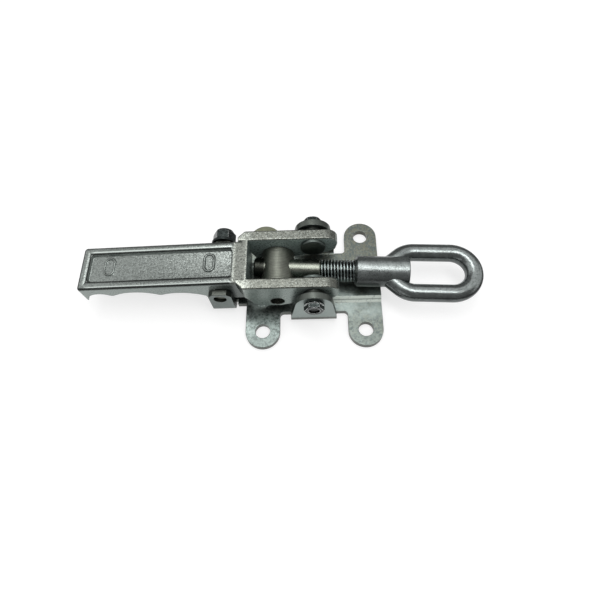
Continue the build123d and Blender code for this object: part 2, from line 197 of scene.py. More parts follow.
class Finish(Recipe):
    """A metal finish: its surface patterns read Object coordinates in millimetres."""

    def __init__(self, name):
        self.material = bpy.data.materials.new(name)
        self.material.use_nodes = True
        super().__init__(self.material.node_tree)
        self.tree.nodes.clear()
        place = self.node("ShaderNodeTexCoord")["Object"]
        self.place = self.node("ShaderNodeVectorMath", {"operation": "SCALE"}, {0: place, "Scale": 1 / MM})[0]
        self.xyz = self.node("ShaderNodeSeparateXYZ", inputs={0: self.place})

    def past(self, axis, ramp):
        """0 before this ramp along an axis, and 1 past it."""
        return self.xyz[axis].between(*ramp)

    def before(self, axis, ramp):
        """1 before this ramp along an axis, and 0 past it."""
        return 1.0 - self.past(axis, ramp)

    def band(self, axis, start, end):
        """1 between two ramps along an axis, and 0 outside them."""
        return self.past(axis, start) * self.before(axis, end)

    def noise(self, size, detail=4.0, rough=0.55, offset=0.0):
        """Noise whose blotches are about this many millimetres wide, near 0.5 on average."""
        moved = self.node(
            "ShaderNodeMapping", inputs={"Vector": self.place, "Location": (offset, offset, offset)}
        )["Vector"]
        return self.node(
            "ShaderNodeTexNoise",
            inputs={"Vector": moved, "Scale": 1 / size, "Detail": detail, "Roughness": rough},
        )["Fac"]

    def cells(self, size):
        """Distance from the middle of cells about this many millimetres wide."""
        return self.node("ShaderNodeTexVoronoi", inputs={"Vector": self.place, "Scale": 1 / size})["Distance"]

    def edges(self, radius):
        """1 on sharp outer and inner edges, within this many millimetres, and 0 on open faces."""
        rounded = self.node("ShaderNodeBevel", {"samples": 6}, {"Radius": radius * MM})["Normal"]
        plain = self.node("ShaderNodeNewGeometry")["Normal"]
        alike = self.node("ShaderNodeVectorMath", {"operation": "DOT_PRODUCT"}, {0: rounded, 1: plain})["Value"]
        return (1.0 - alike).between(0.01, 0.25)

    def hollows(self, reach, low, high):
        """1 in corners and slots, and 0 in the open.

        The reach is in millimetres, and low and high are shares of the view that is shut off.
        """
        open_sky = self.node("ShaderNodeAmbientOcclusion", {"samples": 8}, {"Distance": reach * MM})["AO"]
        return (1.0 - open_sky).between(low, high)

    def facing(self, axis):
        """1 on faces that look along this axis, either way, and 0 on faces along it."""
        normal = self.node("ShaderNodeNewGeometry")["True Normal"]
        local = self.node(
            "ShaderNodeVectorTransform",
            {"vector_type": "NORMAL", "convert_from": "WORLD", "convert_to": "OBJECT"},
            {0: normal},
        )[0]
        return self.node("ShaderNodeSeparateXYZ", inputs={0: local})[axis].math("ABSOLUTE")

    def cover(self, tint, colour, mask, strength=1.0):
        """Lays a colour over a tint where the mask is 1, with this much of it at most."""
        return self.mix(mask if strength == 1.0 else mask * strength, tint, colour)

    def relief(self, height, rounding=None):
        """Normal of a surface that this height lifts, in millimetres, with its edges rounded off."""
        inputs = {"Height": height, "Distance": MM, "Strength": 1.0}
        if rounding:
            inputs["Normal"] = self.node("ShaderNodeBevel", {"samples": 8}, {"Radius": rounding * MM})["Normal"]
        return self.node("ShaderNodeBump", inputs=inputs)["Normal"]

    def metal(self, colour, roughness, normal, metallic=1.0):
        surface = self.node(
            "ShaderNodeBsdfPrincipled",
            inputs={"Base Color": colour, "Roughness": roughness, "Metallic": metallic, "Normal": normal},
        )["BSDF"]
        self.node("ShaderNodeOutputMaterial", inputs={"Surface": surface})
        return self.material


# Finishes


def galvanised(zinc):
    """Stamped sheet under mottled zinc: cool patches on the near left, warmer ones on the far right."""
    f = Finish("zinc_stamping")
    patches = f.noise(9.0, detail=5.0, offset=3.0)
    mottle = f.noise(1.6, detail=6.0, rough=0.65)
    spangle = f.cells(1.1).between(0.50, 0.90)
    in_millimetre_left, in_millimetre_near = 0.006, 0.010
    near_left = (0.5 - f.xyz["X"] * in_millimetre_left - f.xyz["Y"] * in_millimetre_near).clamped()
    cool = (near_left * 0.9 + patches * 0.5 - 0.25).clamped()
    tint = f.mix(cool, opaque(zinc.far_plate), opaque(zinc.plate))
    tint = f.cover(tint, shade(zinc.plate, 0.55), 1.0 - mottle.between(0.42, 0.56))
    tint = f.cover(tint, shade(zinc.plate, 1.6), spangle, strength=0.3)

    # Painted light on the near left ear beside the fork.
    ear_root_light = f.band("Y", NEAR_EAR_HOLE_Y, NEAR_EAR_ROOT_Y) * f.before("X", NEAR_LEFT_EAR_X)
    tint = f.cover(tint, shade(zinc.plate, 1.9), ear_root_light * mottle.between(0.40, 0.54), strength=0.6)
    yellowed = f.past("Y", FAR_EAR_Y) * f.before("X", FAR_LEFT_EAR_X)
    tint = f.cover(tint, opaque(zinc.yellowed), yellowed, strength=0.7)
    near_right = f.band("Y", WEB_NEAR_SIDE_Y, WEB_MIDDLE_Y) * f.past("X", WEB_RIGHT_X)
    # Painted highlight on the near right of the web.
    tint = f.cover(tint, shade(zinc.plate, 2.0), near_right * patches.between(0.3, 0.55), strength=0.5)
    upright = f.past("Z", TABS_AND_LUGS_Z)
    tint = f.cover(tint, shade(zinc.plate, 1.32), upright, strength=0.8)
    tint = f.cover(tint, shade(zinc.plate, 0.5), upright * f.before("X", LUGS_X), strength=0.8)

    sheared = 1.0 - f.blend(upright, f.facing("Z"), f.facing("Y")).between(0.35, 0.75)
    tint = f.cover(tint, opaque(zinc.sheared), sheared, strength=0.75)
    # Painted shade in the base's corners and under the parts above it.
    shaded = f.hollows(7.0, 0.35, 0.9) * (1.0 - sheared)
    tint = f.cover(tint, opaque(zinc.plate_shade), shaded, strength=0.8)
    # Painted highlight on sharp edges, weaker on the sheared ones.
    tint = f.cover(tint, shade(zinc.cool, 1.9), f.edges(0.35) * f.blend(sheared, 0.45, 0.1))

    # Painted highlight on the slope between the web and the near right ear: a pale colour, made little metallic.
    sloped = 1.0 - f.facing("Z").between(0.90, 0.98)
    bend = sloped * near_right * f.band("Z", BEND_FOOT_Z, BEND_TOP_Z)
    tint = f.cover(tint, opaque(zinc.bend), bend * mottle.between(0.30, 0.46))
    # Painted shade line across the middle of the bend.
    tint = f.cover(tint, shade(zinc.plate, 0.7), bend * f.band("Z", SHADE_LINE_FOOT_Z, SHADE_LINE_TOP_Z), strength=0.7)

    rough = f.blend(patches.between(0.3, 0.7), 0.24, 0.38) + mottle * 0.10
    height = mottle * 0.07 + f.noise(0.6, detail=3.0) * 0.04
    return f.metal(tint, rough, f.relief(height, rounding=0.45), metallic=f.blend(bend, 0.95, 0.25))


def mark_crown(f, grip, middle):
    """Rounded top, in millimetres, of the ring mark with its middle at this X on the sunk panel."""
    straight = grip.mark_length / 2 - grip.mark_radius
    across = f.xyz["X"] - middle
    along = ((f.xyz["Y"] - grip.mark_y).math("ABSOLUTE") - straight).math("MAXIMUM", 0.0)
    from_ring = ((across * across + along * along).math("SQRT") - grip.mark_radius) / grip.mark_half
    return (1.0 - from_ring * from_ring).math("MAXIMUM", 0.0) * grip.mark_crown


def grip_relief(f, grip):
    """Height of the grip's top, in millimetres, and masks of the painted highlight on its border's ridges and of
    the painted shade at its foot.
    """
    on_top = f.facing("Z").between(0.2, 0.5) * f.past("Z", GRIP_TOP_Z) * f.before("X", GRIP_RELIEF_X)
    from_side = grip.grip_half - f.xyz["Y"].math("ABSOLUTE")
    from_end = f.xyz["X"] - grip.grip_end
    inset = from_side.math("MINIMUM", from_end)
    off_crest = inset / (grip.border / 2) - 1.0
    crown = (1.0 - off_crest * off_crest).math("MAXIMUM", 0.0) * grip.crown
    across = f.xyz["Y"] / (grip.grip_half - grip.border)
    dish = (across * across) * grip.dish * inset.math("GREATER_THAN", grip.border)
    marks = mark_crown(f, grip, grip.mark_left) + mark_crown(f, grip, grip.mark_right)

    from_crest = off_crest.math("ABSOLUTE")
    ridge_place, ridge_half = 0.40, 0.22
    ridge = (1.0 - (from_crest - ridge_place).math("ABSOLUTE") / ridge_half).clamped()
    near_flank = (off_crest * f.xyz["Y"]).math("GREATER_THAN", 0.0)
    # Painted highlight on the border's ridges, strongest on the flank that faces the near side.
    ridge_highlight = ridge * f.blend(near_flank, 0.3, 1.0) * on_top * from_end.between(*FROM_GRIP_END)
    on_border = 1.0 - inset.between(grip.border, grip.border + 0.2)
    # Painted shade along the foot of the border's crown.
    foot_shade = from_crest.between(0.62, 0.85) * on_border * on_top
    return (crown + dish + marks) * on_top, ridge_highlight, foot_shade


def cast_zinc(zinc, grip):
    """Rough casting under zinc: sparkling grain and a crowned border on the grip, with painted highlights, painted
    light on its sides and painted shade in its hollows.
    """
    f = Finish("zinc_casting")
    form, ridge_highlight, foot_shade = grip_relief(f, grip)
    grain = f.noise(1.15, detail=4.0, rough=0.65)
    fine = f.noise(0.6, detail=3.0, rough=0.6, offset=6.0)
    patches = f.noise(12.0, detail=4.0, offset=11.0)
    on_fork = f.past("X", FORK_X)
    tint = f.mix(on_fork * 0.85 + patches * 0.15, opaque(zinc.cool), opaque(zinc.warm))
    # Painted light on the bridge between the grip and the fork.
    tint = f.cover(tint, shade(zinc.warm, 2.2), f.past("X", BRIDGE_X) * (1.0 - on_fork), strength=0.6)
    pitted = f.mix(0.45, opaque(zinc.pits), tint)
    tint = f.mix(grain.between(0.42, 0.54), pitted, tint)
    tint = f.cover(tint, shade(zinc.cool, 2.2), fine.between(0.56, 0.66), strength=0.5)

    # Painted light towards the grip's end.
    tint = f.cover(tint, shade(zinc.cool, 1.8), f.before("X", GRIP_TAIL_X), strength=0.2)
    # Painted shade at the foot of the border.
    tint = f.cover(tint, shade(zinc.cool, 0.15), foot_shade, strength=0.85)
    # Painted highlight on the border's ridges.
    tint = f.cover(tint, shade(zinc.cool, 3.8), ridge_highlight, strength=0.95)
    # Painted shade on the near cheek.
    tint = f.cover(tint, shade(zinc.warm, 0.5), on_fork * f.before("Y", NEAR_CHEEK_Y), strength=0.4)

    up = f.facing("Z")
    # Painted shade on the grip's rounded outer edge.
    shoulder_shade = up.between(0.45, 0.65) * (1.0 - up.between(0.93, 0.99)) * f.before("X", GRIP_SHOULDER_X)
    tint = f.cover(tint, shade(zinc.cool, 0.15), shoulder_shade, strength=0.8)
    # Painted light on the handle's upright sides: a lighter colour than the top, and less metallic.
    side = 1.0 - up.between(0.15, 0.60)
    tint = f.cover(tint, opaque(zinc.sides), side * f.blend(on_fork, 0.5, 0.75))
    by_lug = side * f.band("X", LUG_SHADE_START_X, LUG_SHADE_END_X)
    tint = f.cover(tint, opaque(zinc.by_lug), by_lug, strength=0.8)
    # Painted light on the cheeks' inner sides, a little dimmer than on the outer sides.
    between_cheeks = 1.0 - f.xyz["Y"].math("ABSOLUTE").between(*CHEEK_INSIDE_Y)
    tint = f.cover(tint, opaque(zinc.fork_inner_light), between_cheeks * f.past("X", FORK_WINDOW_X) * side, strength=0.75)
    # Painted shade in the handle's corners and hollows.
    tint = f.cover(tint, opaque(zinc.cast_shade), f.hollows(7.0, 0.40, 0.95), strength=0.5)
    # Painted highlight on sharp edges, stronger on the fork.
    tint = f.cover(tint, shade(zinc.cool, 2.0), f.edges(0.5) * f.blend(on_fork, 0.05, 0.4))

    rough = (f.blend(grain.between(0.35, 0.7), 0.32, 0.18) + patches * 0.06) * (1.0 - ridge_highlight * 0.4)
    height = (grain * 0.09 + fine * 0.045) * (1.0 - ridge_highlight * 0.8) * (1.0 - side * 0.6) + form
    return f.metal(tint, rough, f.relief(height, rounding=0.8), metallic=f.blend(side, 0.95, 0.5))


def turned(name, colour, axis, ring=0.42, depth=0.02, edge_highlight=0.5, roughness=(0.30, 0.46), shade_below=None, fade=2.0):
    """Turned steel with fine tool rings across this axis, painted shade in hollows, a painted highlight on edges,
    and painted shade below a place on it, in millimetres.
    """
    f = Finish(name)
    rings = (f.xyz[axis] * (2 * pi / ring) + f.noise(3.0) * 4.0).math("SINE") * 0.5 + 0.5
    stains = f.noise(4.0, detail=5.0, offset=5.0)
    tint = f.mix(stains.between(0.35, 0.70), shade(colour, 0.62), opaque(colour))
    tint = f.cover(tint, shade(colour, 1.5), rings, strength=0.42)
    # Painted shade in hollows.
    tint = f.cover(tint, shade(colour, 0.12), f.hollows(4.0, 0.35, 0.95), strength=0.7)
    # Painted highlight on edges.
    tint = f.cover(tint, shade(colour, 2.0), f.edges(0.3), strength=edge_highlight)
    # Painted shade below this place.
    if shade_below is not None:
        tint = f.cover(tint, shade(colour, 0.12), f.before(axis, (shade_below, shade_below + fade)))
    height = rings * depth + f.noise(0.7, detail=3.0) * 0.015
    return f.metal(tint, f.blend(stains, *roughness), f.relief(height, rounding=0.3))


def rolled_steel(colour, groove):
    """Oiled thread: glossy crests over painted shade in the grooves."""
    f = Finish("rolled_thread")
    stains = f.noise(3.0, detail=4.0)
    tint = f.mix(stains.between(0.35, 0.65), shade(colour, 0.6), opaque(colour))
    # Painted shade in the grooves.
    tint = f.cover(tint, opaque(groove), f.hollows(1.2, 0.10, 0.42))
    return f.metal(tint, f.blend(stains, 0.10, 0.20), f.relief(f.noise(0.8) * 0.03))


def link_steel(name, colour, roughness):
    """Smooth plated bar with a fine orange peel and dark specks, with painted shade down its sides and in hollows
    and a painted highlight on edges.
    """
    f = Finish(name)
    peel = f.noise(1.3, detail=4.0, rough=0.6)
    stains = f.noise(7.0, detail=5.0, offset=8.0)
    specks = f.noise(0.55, detail=3.0, rough=0.7, offset=2.0)
    tint = f.mix(stains.between(0.35, 0.72), shade(colour, 0.75), shade(colour, 1.15))
    tint = f.cover(tint, shade(colour, 0.30), specks.between(0.52, 0.60), strength=0.85)
    # Painted shade in hollows.
    tint = f.cover(tint, shade(colour, 0.12), f.hollows(4.0, 0.35, 0.95), strength=0.6)
    # Painted highlight on edges.
    tint = f.cover(tint, shade(colour, 2.2), f.edges(0.4), strength=0.5)
    # Painted shade down the sides and undersides.
    tint = f.cover(tint, shade(colour, 0.15), 1.0 - f.facing("Z").between(0.35, 0.85), strength=0.65)
    rough = f.blend(stains, *roughness) + specks * 0.05
    return f.metal(tint, rough, f.relief(peel * 0.060 + specks * 0.045, rounding=0.4))


def dark_fastener(colour, glint):
    """Oiled dark steel with a painted glint on its corners."""
    f = Finish("dark_fastener")
    stains = f.noise(2.2, detail=5.0)
    grain = f.noise(0.6, detail=4.0, rough=0.7)
    tint = f.mix(stains.between(0.4, 0.7), shade(colour, 0.6), shade(colour, 1.5))
    # Painted highlight on the corners.
    tint = f.cover(tint, opaque(glint), f.edges(0.6), strength=0.95)
    return f.metal(tint, f.blend(stains, 0.12, 0.26), f.relief(grain * 0.09, rounding=0.6))


# Meshes


def lathe(profile, around=64):
    """Closed mesh turned about X from (x, radius) points, in metres, that start and end on the axis."""
    mesh = bmesh.new()
    angles = [2 * pi * k / around for k in range(around)]
    rings = []
    for x, radius in profile:
        if radius == 0:
            rings.append([mesh.verts.new((x, 0, 0))])
        else:
            rings.append([mesh.verts.new((x, radius * cos(a), radius * sin(a))) for a in angles])
    for left, right in zip(rings, rings[1:]):
        for k in range(around):
            after = k + 1
            corners = [
                left[k % len(left)],
                left[after % len(left)],
                right[after % len(right)],
                right[k % len(right)],
            ]
            mesh.faces.new(list(dict.fromkeys(corners)))
    bmesh.ops.recalc_face_normals(mesh, faces=mesh.faces)
    return mesh


def finish_piece(name, mesh, body, material, sharp=35):
    """Object of this mesh, at the origin, that rides on a body and takes a slot's finish."""
    data = bpy.data.meshes.new(name)
    mesh.to_mesh(data)
    mesh.free()
    data.materials.clear()
    data.materials.append(material)
    piece = bpy.data.objects.new(name, data)
    bpy.context.scene.collection.objects.link(piece)
    data.shade_smooth()
    data.set_sharp_from_angle(angle=radians(sharp))
    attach(piece, body)
    return piece


def dress(node, material):
    """Gives a carried-over node this finish."""
    slots = frame["nodes"][node].data.materials
    slots.clear()
    slots.append(material)


def along_bolt():
    """Matrix that takes X to the draw bolt's axis and the origin to the trunnion's middle."""
    side = Vector((0, 0, 1)).cross(BOLT_AXIS).normalized()
    up = BOLT_AXIS.cross(side)
    turn = Matrix((BOLT_AXIS, side, up)).transposed().to_4x4()
    return Matrix.Translation(BOLT_ORIGIN) @ turn


class ShapeTree(Recipe):
    """A Geometry Nodes tree with named inputs."""

    def __init__(self, name, sizes):
        tree = bpy.data.node_groups.new(name, "GeometryNodeTree")
        super().__init__(tree)
        tree.interface.new_socket("Geometry", in_out="INPUT", socket_type="NodeSocketGeometry")
        self.sockets = {}
        for label, kind in sizes.items():
            socket = tree.interface.new_socket(label, in_out="INPUT", socket_type=kind)
            self.sockets[label] = socket.identifier
        tree.interface.new_socket("Geometry", in_out="OUTPUT", socket_type="NodeSocketGeometry")
        self.given = self.node("NodeGroupInput")

    def finish(self, geometry):
        real = self.node("GeometryNodeRealizeInstances", inputs={"Geometry": geometry})["Geometry"]
        dressed = self.node(
            "GeometryNodeSetMaterial", inputs={"Geometry": real, "Material": self.given["Material"]}
        )["Geometry"]
        self.node("NodeGroupOutput", inputs={"Geometry": dressed})

    def grow(self, values):
        """Mesh that the tree makes from these values, as a new bmesh."""
        seed = bpy.data.objects.new("seed", bpy.data.meshes.new("seed"))
        bpy.context.scene.collection.objects.link(seed)
        modifier = seed.modifiers.new("shape", "NODES")
        modifier.node_group = self.tree
        for label, value in values.items():
            modifier[self.sockets[label]] = value
        graph = bpy.context.evaluated_depsgraph_get()
        grown = bpy.data.meshes.new_from_object(seed.evaluated_get(graph))
        seed.modifiers.clear()
        bpy.data.objects.remove(seed)
        mesh = bmesh.new()
        mesh.from_mesh(grown)
        bpy.data.meshes.remove(grown)
        return mesh


def thread_tree():
    """Closed thread about X: a grid whose rows run along the thread is rolled up to its radius."""
    crest_and_root = (0.16, 0.90)
    end_row = 0.0001
    doubles = 0.002 * MM
    sizes = {
        "Length": "NodeSocketFloat",
        "Radius": "NodeSocketFloat",
        "Depth": "NodeSocketFloat",
        "Pitch": "NodeSocketFloat",
        "Run-out": "NodeSocketFloat",
        "Rows": "NodeSocketInt",
        "Columns": "NodeSocketInt",
        "Material": "NodeSocketMaterial",
    }
    t = ShapeTree("rolled_thread", sizes)
    grid = t.node(
        "GeometryNodeMeshGrid",
        inputs={"Size X": 1.0, "Size Y": 1.0, "Vertices X": t.given["Rows"], "Vertices Y": t.given["Columns"]},
    )["Mesh"]
    flat = t.node("ShaderNodeSeparateXYZ", inputs={0: t.node("GeometryNodeInputPosition")["Position"]})
    share = flat["X"] + 0.5
    turn = flat["Y"] + 0.5
    run = t.given["Length"]
    reach = share * run
    phase = (reach / t.given["Pitch"] - turn).math("FRACT")
    groove = (phase * 2.0 - 1.0).math("ABSOLUTE").between(*crest_and_root)
    to_end = reach.math("MINIMUM", run - reach)
    fade = (to_end / t.given["Run-out"]).clamped()
    radius = t.given["Radius"] - t.given["Depth"] * (1.0 - (1.0 - groove) * fade)
    inside = share.math("GREATER_THAN", end_row) * share.math("LESS_THAN", 1.0 - end_row)
    around = turn * (2 * pi)
    spot = t.node(
        "ShaderNodeCombineXYZ",
        inputs={
            "X": reach,
            "Y": radius * inside * around.math("COSINE"),
            "Z": radius * inside * around.math("SINE"),
        },
    )["Vector"]
    rolled = t.node("GeometryNodeSetPosition", inputs={"Geometry": grid, "Position": spot})["Geometry"]
    closed = t.node("GeometryNodeMergeByDistance", inputs={"Geometry": rolled, "Distance": doubles})["Geometry"]
    t.finish(closed)
    return t


# Settings


def length(name, description, default):
    return bpy.props.FloatProperty(
        name=name, description=description, default=default, min=0.0, subtype="DISTANCE", unit="LENGTH", precision=5
    )


def millimetres(name, description, default):
    return bpy.props.FloatProperty(name=name, description=description + ", in millimetres", default=default)


def point(name, description, default):
    return bpy.props.FloatVectorProperty(
        name=name, description=description, default=default, subtype="TRANSLATION", unit="LENGTH", precision=5
    )


def angle(name, description, degrees):
    return bpy.props.FloatProperty(name=name, description=description, default=radians(degrees), subtype="ANGLE")


def power(name, description, default):
    return bpy.props.FloatProperty(name=name, description=description, default=default, unit="POWER")


def colour(name, description, default):
    return bpy.props.FloatVectorProperty(
        name=name, description=description, default=default, size=3, min=0.0, max=1.0, subtype="COLOR"
    )


class LatchZinc(bpy.types.PropertyGroup):
    cool: colour("Cool zinc", "Zinc on the grip and the bridge", (0.232, 0.254, 0.242))
    warm: colour("Warm zinc", "Zinc on the fork", (0.185, 0.192, 0.168))
    pits: colour("Pits", "Pits in the casting's grain", (0.03, 0.035, 0.03))
    # Painted light for the handle's upright sides.
    sides: colour("Sides", "Upright sides of the handle", (0.28, 0.34, 0.315))
    # Painted light for the cheeks' inner sides.
    fork_inner_light: colour("Inside the fork", "Inner sides of the cheeks", (0.25, 0.32, 0.30))
    by_lug: colour("Beside the lugs", "Side of the handle in the lugs' shade", (0.045, 0.055, 0.052))
    # Painted shade for the handle's corners and hollows.
    cast_shade: colour("Casting's hollows", "Shading in the handle's corners", (0.035, 0.042, 0.040))
    plate: colour("Plate", "Zinc on the near side of the base", (0.195, 0.230, 0.218))
    far_plate: colour("Far plate", "Zinc on the far side of the base", (0.165, 0.168, 0.132))
    yellowed: colour("Yellowed ear", "Zinc on the far left ear", (0.135, 0.138, 0.088))
    # Painted highlight for the bend beside the web.
    bend: colour("Bend", "Bright slope between the web and the near right ear", (0.72, 0.79, 0.72))
    sheared: colour("Sheared edge", "Torn edges of the sheet", (0.060, 0.061, 0.051))
    # Painted shade for the base's corners and hollows.
    plate_shade: colour("Base's hollows", "Shading in the base's corners", (0.030, 0.032, 0.026))


class LatchGrip(bpy.types.PropertyGroup):
    grip_half: millimetres("Half width", "From the grip's middle to its side", 15.08)
    grip_end: millimetres("End", "X of the grip's end", -144.9)
    border: millimetres("Border", "Width of the border round the sunk panel", 5.4)
    crown: millimetres("Crown", "How far the border's middle stands above its edges", 0.85)
    dish: millimetres("Dish", "How far the sunk panel's sides stand above its middle", 0.45)
    mark_left: millimetres("Left mark", "X of the left mark's middle", -126.95)
    mark_right: millimetres("Right mark", "X of the right mark's middle", -63.7)
    mark_y: millimetres("Mark side shift", "Y of the marks' middles", 1.2)
    mark_length: millimetres("Mark length", "Along Y, to the middle of the ring", 11.6)
    mark_radius: millimetres("Mark radius", "Round end, to the middle of the ring", 3.0)
    mark_half: millimetres("Mark half width", "Half of the ring's width", 0.95)
    mark_crown: millimetres("Mark crown", "How far the ring's middle stands above its edges", 0.45)


class LatchSteel(bpy.types.PropertyGroup):
    trunnion: colour("Trunnion", "Turned steel of the trunnion", (0.176, 0.186, 0.158))
    shank: colour("Bolt", "Turned steel of the bolt's plain shank", (0.22, 0.235, 0.20))
    thread: colour("Thread", "Oiled steel of the bolt's thread", (0.60, 0.67, 0.66))
    # Painted shade for the thread's grooves.
    groove: colour("Groove", "Darkness at the root of the thread", (0.012, 0.016, 0.016))
    link: colour("Link", "Plated steel of the socket and the eye", (0.30, 0.328, 0.322))
    fastener: colour("Fasteners", "Dark steel of the nuts", (0.032, 0.038, 0.037))
    glint: colour("Glinting corners", "Highlit steel on the nuts' corners", (0.86, 0.90, 0.88))
    pin: colour("Pins", "Turned steel of the pivot pins", (0.12, 0.14, 0.13))
    washer: colour("Washers", "Dull steel of the pivot washers", (0.034, 0.037, 0.033))
    # Painted shade on the near pivot pin's end inside its nut.
    shaded_pin_end: millimetres("Dark pin end", "Y below which the near pivot pin is dark", -29.0)


class LatchBolt(bpy.types.PropertyGroup):
    shank_radius: length("Shank radius", "Plain part of the bolt", 7.0 * MM)
    head_radius: length("Head radius", "Head behind the trunnion", 7.5 * MM)
    head_back: length("Head face", "From the trunnion's middle to the head's near face", 10.70 * MM)
    head_depth: length("Head depth", "Thickness of the head", 4.0 * MM)
    head_edge: length("Head edge", "Taper round the head's outer face", 0.8 * MM)
    thread_start: length("Thread start", "From the trunnion's middle to the thread", 26.4 * MM)
    thread_end: length("Thread end", "From the trunnion's middle to the bolt's end", 70.0 * MM)
    thread_radius: length("Thread radius", "Over the crests", 7.15 * MM)
    thread_depth: length("Thread depth", "From crest to root", 1.15 * MM)
    neck: length("Neck", "Taper from the shank down to the thread's core", 1.2 * MM)
    end_edge: length("End edge", "Taper round the bolt's end", 0.5 * MM)
    pitch: length("Pitch", "From one crest to the next", 2.0 * MM)
    run_out: length("Run-out", "Over which the thread fades at either end", 1.5 * MM)
    rows_in_pitch: bpy.props.IntProperty(
        name="Rows in a pitch", description="Rows of faces from one crest to the next", default=10, min=4
    )
    columns: bpy.props.IntProperty(
        name="Columns", description="Points round the thread, with the last on the first", default=49, min=4
    )
    # Painted shade on the bolt's tail inside the fork.
    shaded_tail: millimetres("Dark tail", "X below which the bolt is dark", -31.0)


class LatchStudio(bpy.types.PropertyGroup):
    focal: bpy.props.FloatProperty(name="Focal length", description="Lens, in millimetres", default=28.357)
    azimuth: angle("Azimuth", "Turn of the camera about Z", 5.131)
    elevation: angle("Elevation", "Camera above the floor", 64.645)
    roll: angle("Roll", "Turn of the camera about its view", -6.043)
    distance: length("Distance", "From the camera to its target", 301.4 * MM)
    target: point("Target", "Point that the camera looks at", (-8.6 * MM, -15.77 * MM, 10.0 * MM))
    ambient: bpy.props.FloatProperty(name="Ambient", description="Light from all round", default=0.55)
    key_power: power("Key lamp", "Power of the soft overhead lamp", 2.6)
    key_place: point("Key place", "Middle of the overhead lamp", (0.05, 0.04, 0.74))
    key_width: length("Key width", "Overhead lamp along the latch", 0.9)
    key_depth: length("Key depth", "Overhead lamp across the latch", 0.22)
    fill_power: power("Fill lamp", "Power of the near side lamp", 0.9)
    fill_place: point("Fill place", "Middle of the near side lamp", (-0.35, -0.75, 0.35))
    fill_width: length("Fill width", "Near side lamp, level", 0.6)
    fill_depth: length("Fill depth", "Near side lamp, upwards", 0.5)
    lamp_aim: point("Lamp aim", "Point that both lamps face", (0.0, 0.0, 0.02))
    floor: colour("Floor", "Pale floor", (0.48, 0.48, 0.48))
    floor_glow: bpy.props.FloatProperty(
        name="Floor white", description="What brings the lit floor up to white", default=0.64
    )
    floor_reach: length("Floor reach", "From the middle of the floor to its edges", 3.0)
    fade_start: length("Fade start", "Where the floor starts to go over to white", 0.35)
    fade_end: length("Fade end", "Where the floor is all white", 1.2)


# Pieces


